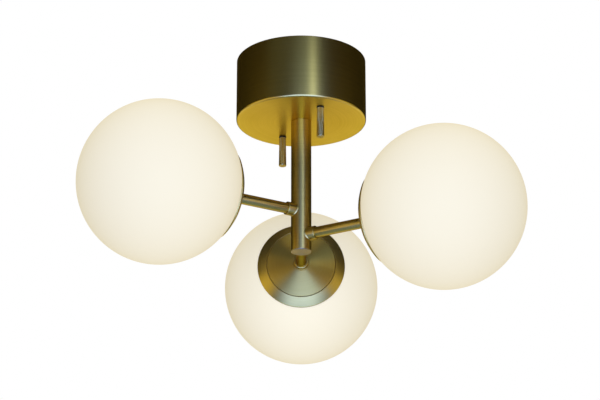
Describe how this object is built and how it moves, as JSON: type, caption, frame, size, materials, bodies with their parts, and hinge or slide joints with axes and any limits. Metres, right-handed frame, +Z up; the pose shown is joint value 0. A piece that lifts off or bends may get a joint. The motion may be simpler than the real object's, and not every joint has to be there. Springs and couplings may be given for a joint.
{
  "type": "semi flush ceiling light",
  "caption": "Semi flush ceiling light: a drum canopy and stem carry level arms at staggered heights, each ending in a cup that holds an opal glass globe.",
  "frame": {"origin": "centre of the ceiling strap's top face, on the ceiling", "axes": "+Z up into the ceiling; +Y along the arm of the third globe, away from the viewer of the front; +X to the right in the front view"},
  "size_m": [0.4058, 0.3715, 0.2505],
  "materials": {
    "brass": "brushed antique brass, clear lacquer",
    "opal_glass": "glossy opal",
    "zinc_steel": "zinc plated",
    "black_fibre": "matte",
    "ceramic": "glazed ceramic",
    "silicone": "translucent silicone",
    "bulb_glass": "frosted",
    "nylon": "moulded",
    "lead_sheath": "soft sheath",
    "screw_brass": "bright machined brass"
  },
  "bodies": {
    "ceiling_bracket": {"ceiling_strap": "zinc_steel", "strap_studs": "zinc_steel", "stud_lock_nuts": "zinc_steel", "strap_earth_screw": "screw_brass"},
    "fixture": {"canopy": "brass", "nut_washers": "black_fibre", "stiffening_plate": "zinc_steel", "canopy_earth_screw": "screw_brass", "terminal_block": "nylon", "terminal_screws": "screw_brass", "block_fixing_screws": "zinc_steel", "stem_tube": "brass", "stem_bush": "brass", "stem_nipple": "zinc_steel", "stem_lock_washer": "zinc_steel", "stem_lock_nut": "zinc_steel", "stem_end_cap": "brass", "arm_lock_nuts": "zinc_steel", "holder_nuts": "zinc_steel", "holder_screws": "zinc_steel", "arm_collar_1": "brass", "arm_tube_1": "brass", "hub_ring_1": "brass", "back_plate_1": "brass", "holder_bracket_1": "zinc_steel", "lampholder_1": "ceramic", "arm_lead_1": "lead_sheath", "arm_collar_2": "brass", "arm_tube_2": "brass", "hub_ring_2": "brass", "back_plate_2": "brass", "holder_bracket_2": "zinc_steel", "lampholder_2": "ceramic", "arm_lead_2": "lead_sheath", "arm_collar_3": "brass", "arm_tube_3": "brass", "hub_ring_3": "brass", "back_plate_3": "brass", "holder_bracket_3": "zinc_steel", "lampholder_3": "ceramic", "arm_lead_3": "lead_sheath"},
    "thumb_nut_1": {"thumb_nut_1": "brass"},
    "thumb_nut_2": {"thumb_nut_2": "brass"},
    "seal_1": {"seal_1": "silicone"},
    "globe_1": {"globe_ring_1": "brass", "globe_glass_1": "opal_glass"},
    "bulb_1": {"bulb_base_1": "ceramic", "bulb_capsule_1": "bulb_glass"},
    "seal_2": {"seal_2": "silicone"},
    "globe_2": {"globe_ring_2": "brass", "globe_glass_2": "opal_glass"},
    "bulb_2": {"bulb_base_2": "ceramic", "bulb_capsule_2": "bulb_glass"},
    "seal_3": {"seal_3": "silicone"},
    "globe_3": {"globe_ring_3": "brass", "globe_glass_3": "opal_glass"},
    "bulb_3": {"bulb_base_3": "ceramic", "bulb_capsule_3": "bulb_glass"}
  },
  "joints": [
    {"name": "canopy_drop", "type": "slide", "parent": "ceiling_bracket", "child": "fixture", "axis": [0, 0, -1], "range_m": [0, 0.012]},
    {"name": "thumb_nut_1_turn", "type": "hinge", "parent": "fixture", "child": "thumb_nut_1", "pos_m": [0.01778, -0.03583, -0.0626], "axis": [0, 0, -1], "range_deg": [0, 6172]},
    {"name": "thumb_nut_2_turn", "type": "hinge", "parent": "fixture", "child": "thumb_nut_2", "pos_m": [-0.01778, 0.03583, -0.0626], "axis": [0, 0, -1], "range_deg": [0, 6172]},
    {"name": "globe_1_out", "type": "slide", "parent": "fixture", "child": "seal_1", "axis": [-0.866, -0.5, 0], "range_m": [0, 0.006]},
    {"name": "globe_1_turn", "type": "hinge", "parent": "seal_1", "child": "globe_1", "pos_m": [-0.07249, -0.04185, -0.1515], "axis": [-0.866, -0.5, 0], "range_deg": [0, 720]},
    {"name": "bulb_1_pull", "type": "slide", "parent": "fixture", "child": "bulb_1", "axis": [-0.866, -0.5, 0], "range_m": [0, 0.012]},
    {"name": "globe_2_out", "type": "slide", "parent": "fixture", "child": "seal_2", "axis": [0.866, -0.5, 0], "range_m": [0, 0.006]},
    {"name": "globe_2_turn", "type": "hinge", "parent": "seal_2", "child": "globe_2", "pos_m": [0.07249, -0.04185, -0.1755], "axis": [0.866, -0.5, 0], "range_deg": [0, 720]},
    {"name": "bulb_2_pull", "type": "slide", "parent": "fixture", "child": "bulb_2", "axis": [0.866, -0.5, 0], "range_m": [0, 0.012]},
    {"name": "globe_3_out", "type": "slide", "parent": "fixture", "child": "seal_3", "axis": [0, 1, 0], "range_m": [0, 0.006]},
    {"name": "globe_3_turn", "type": "hinge", "parent": "seal_3", "child": "globe_3", "pos_m": [0, 0.0837, -0.1755], "axis": [0, 1, 0], "range_deg": [0, 720]},
    {"name": "bulb_3_pull", "type": "slide", "parent": "fixture", "child": "bulb_3", "axis": [0, 1, 0], "range_m": [0, 0.012]}
  ],
  "couplings": [
    {"joint": "thumb_nut_1_turn", "follows": "canopy_drop", "rad_per_m": 8976},
    {"joint": "thumb_nut_2_turn", "follows": "canopy_drop", "rad_per_m": 8976},
    {"joint": "globe_1_out", "follows": "globe_1_turn", "m_per_rad": 0.00047746},
    {"joint": "globe_2_out", "follows": "globe_2_turn", "m_per_rad": 0.00047746},
    {"joint": "globe_3_out", "follows": "globe_3_turn", "m_per_rad": 0.00047746}
  ]
}
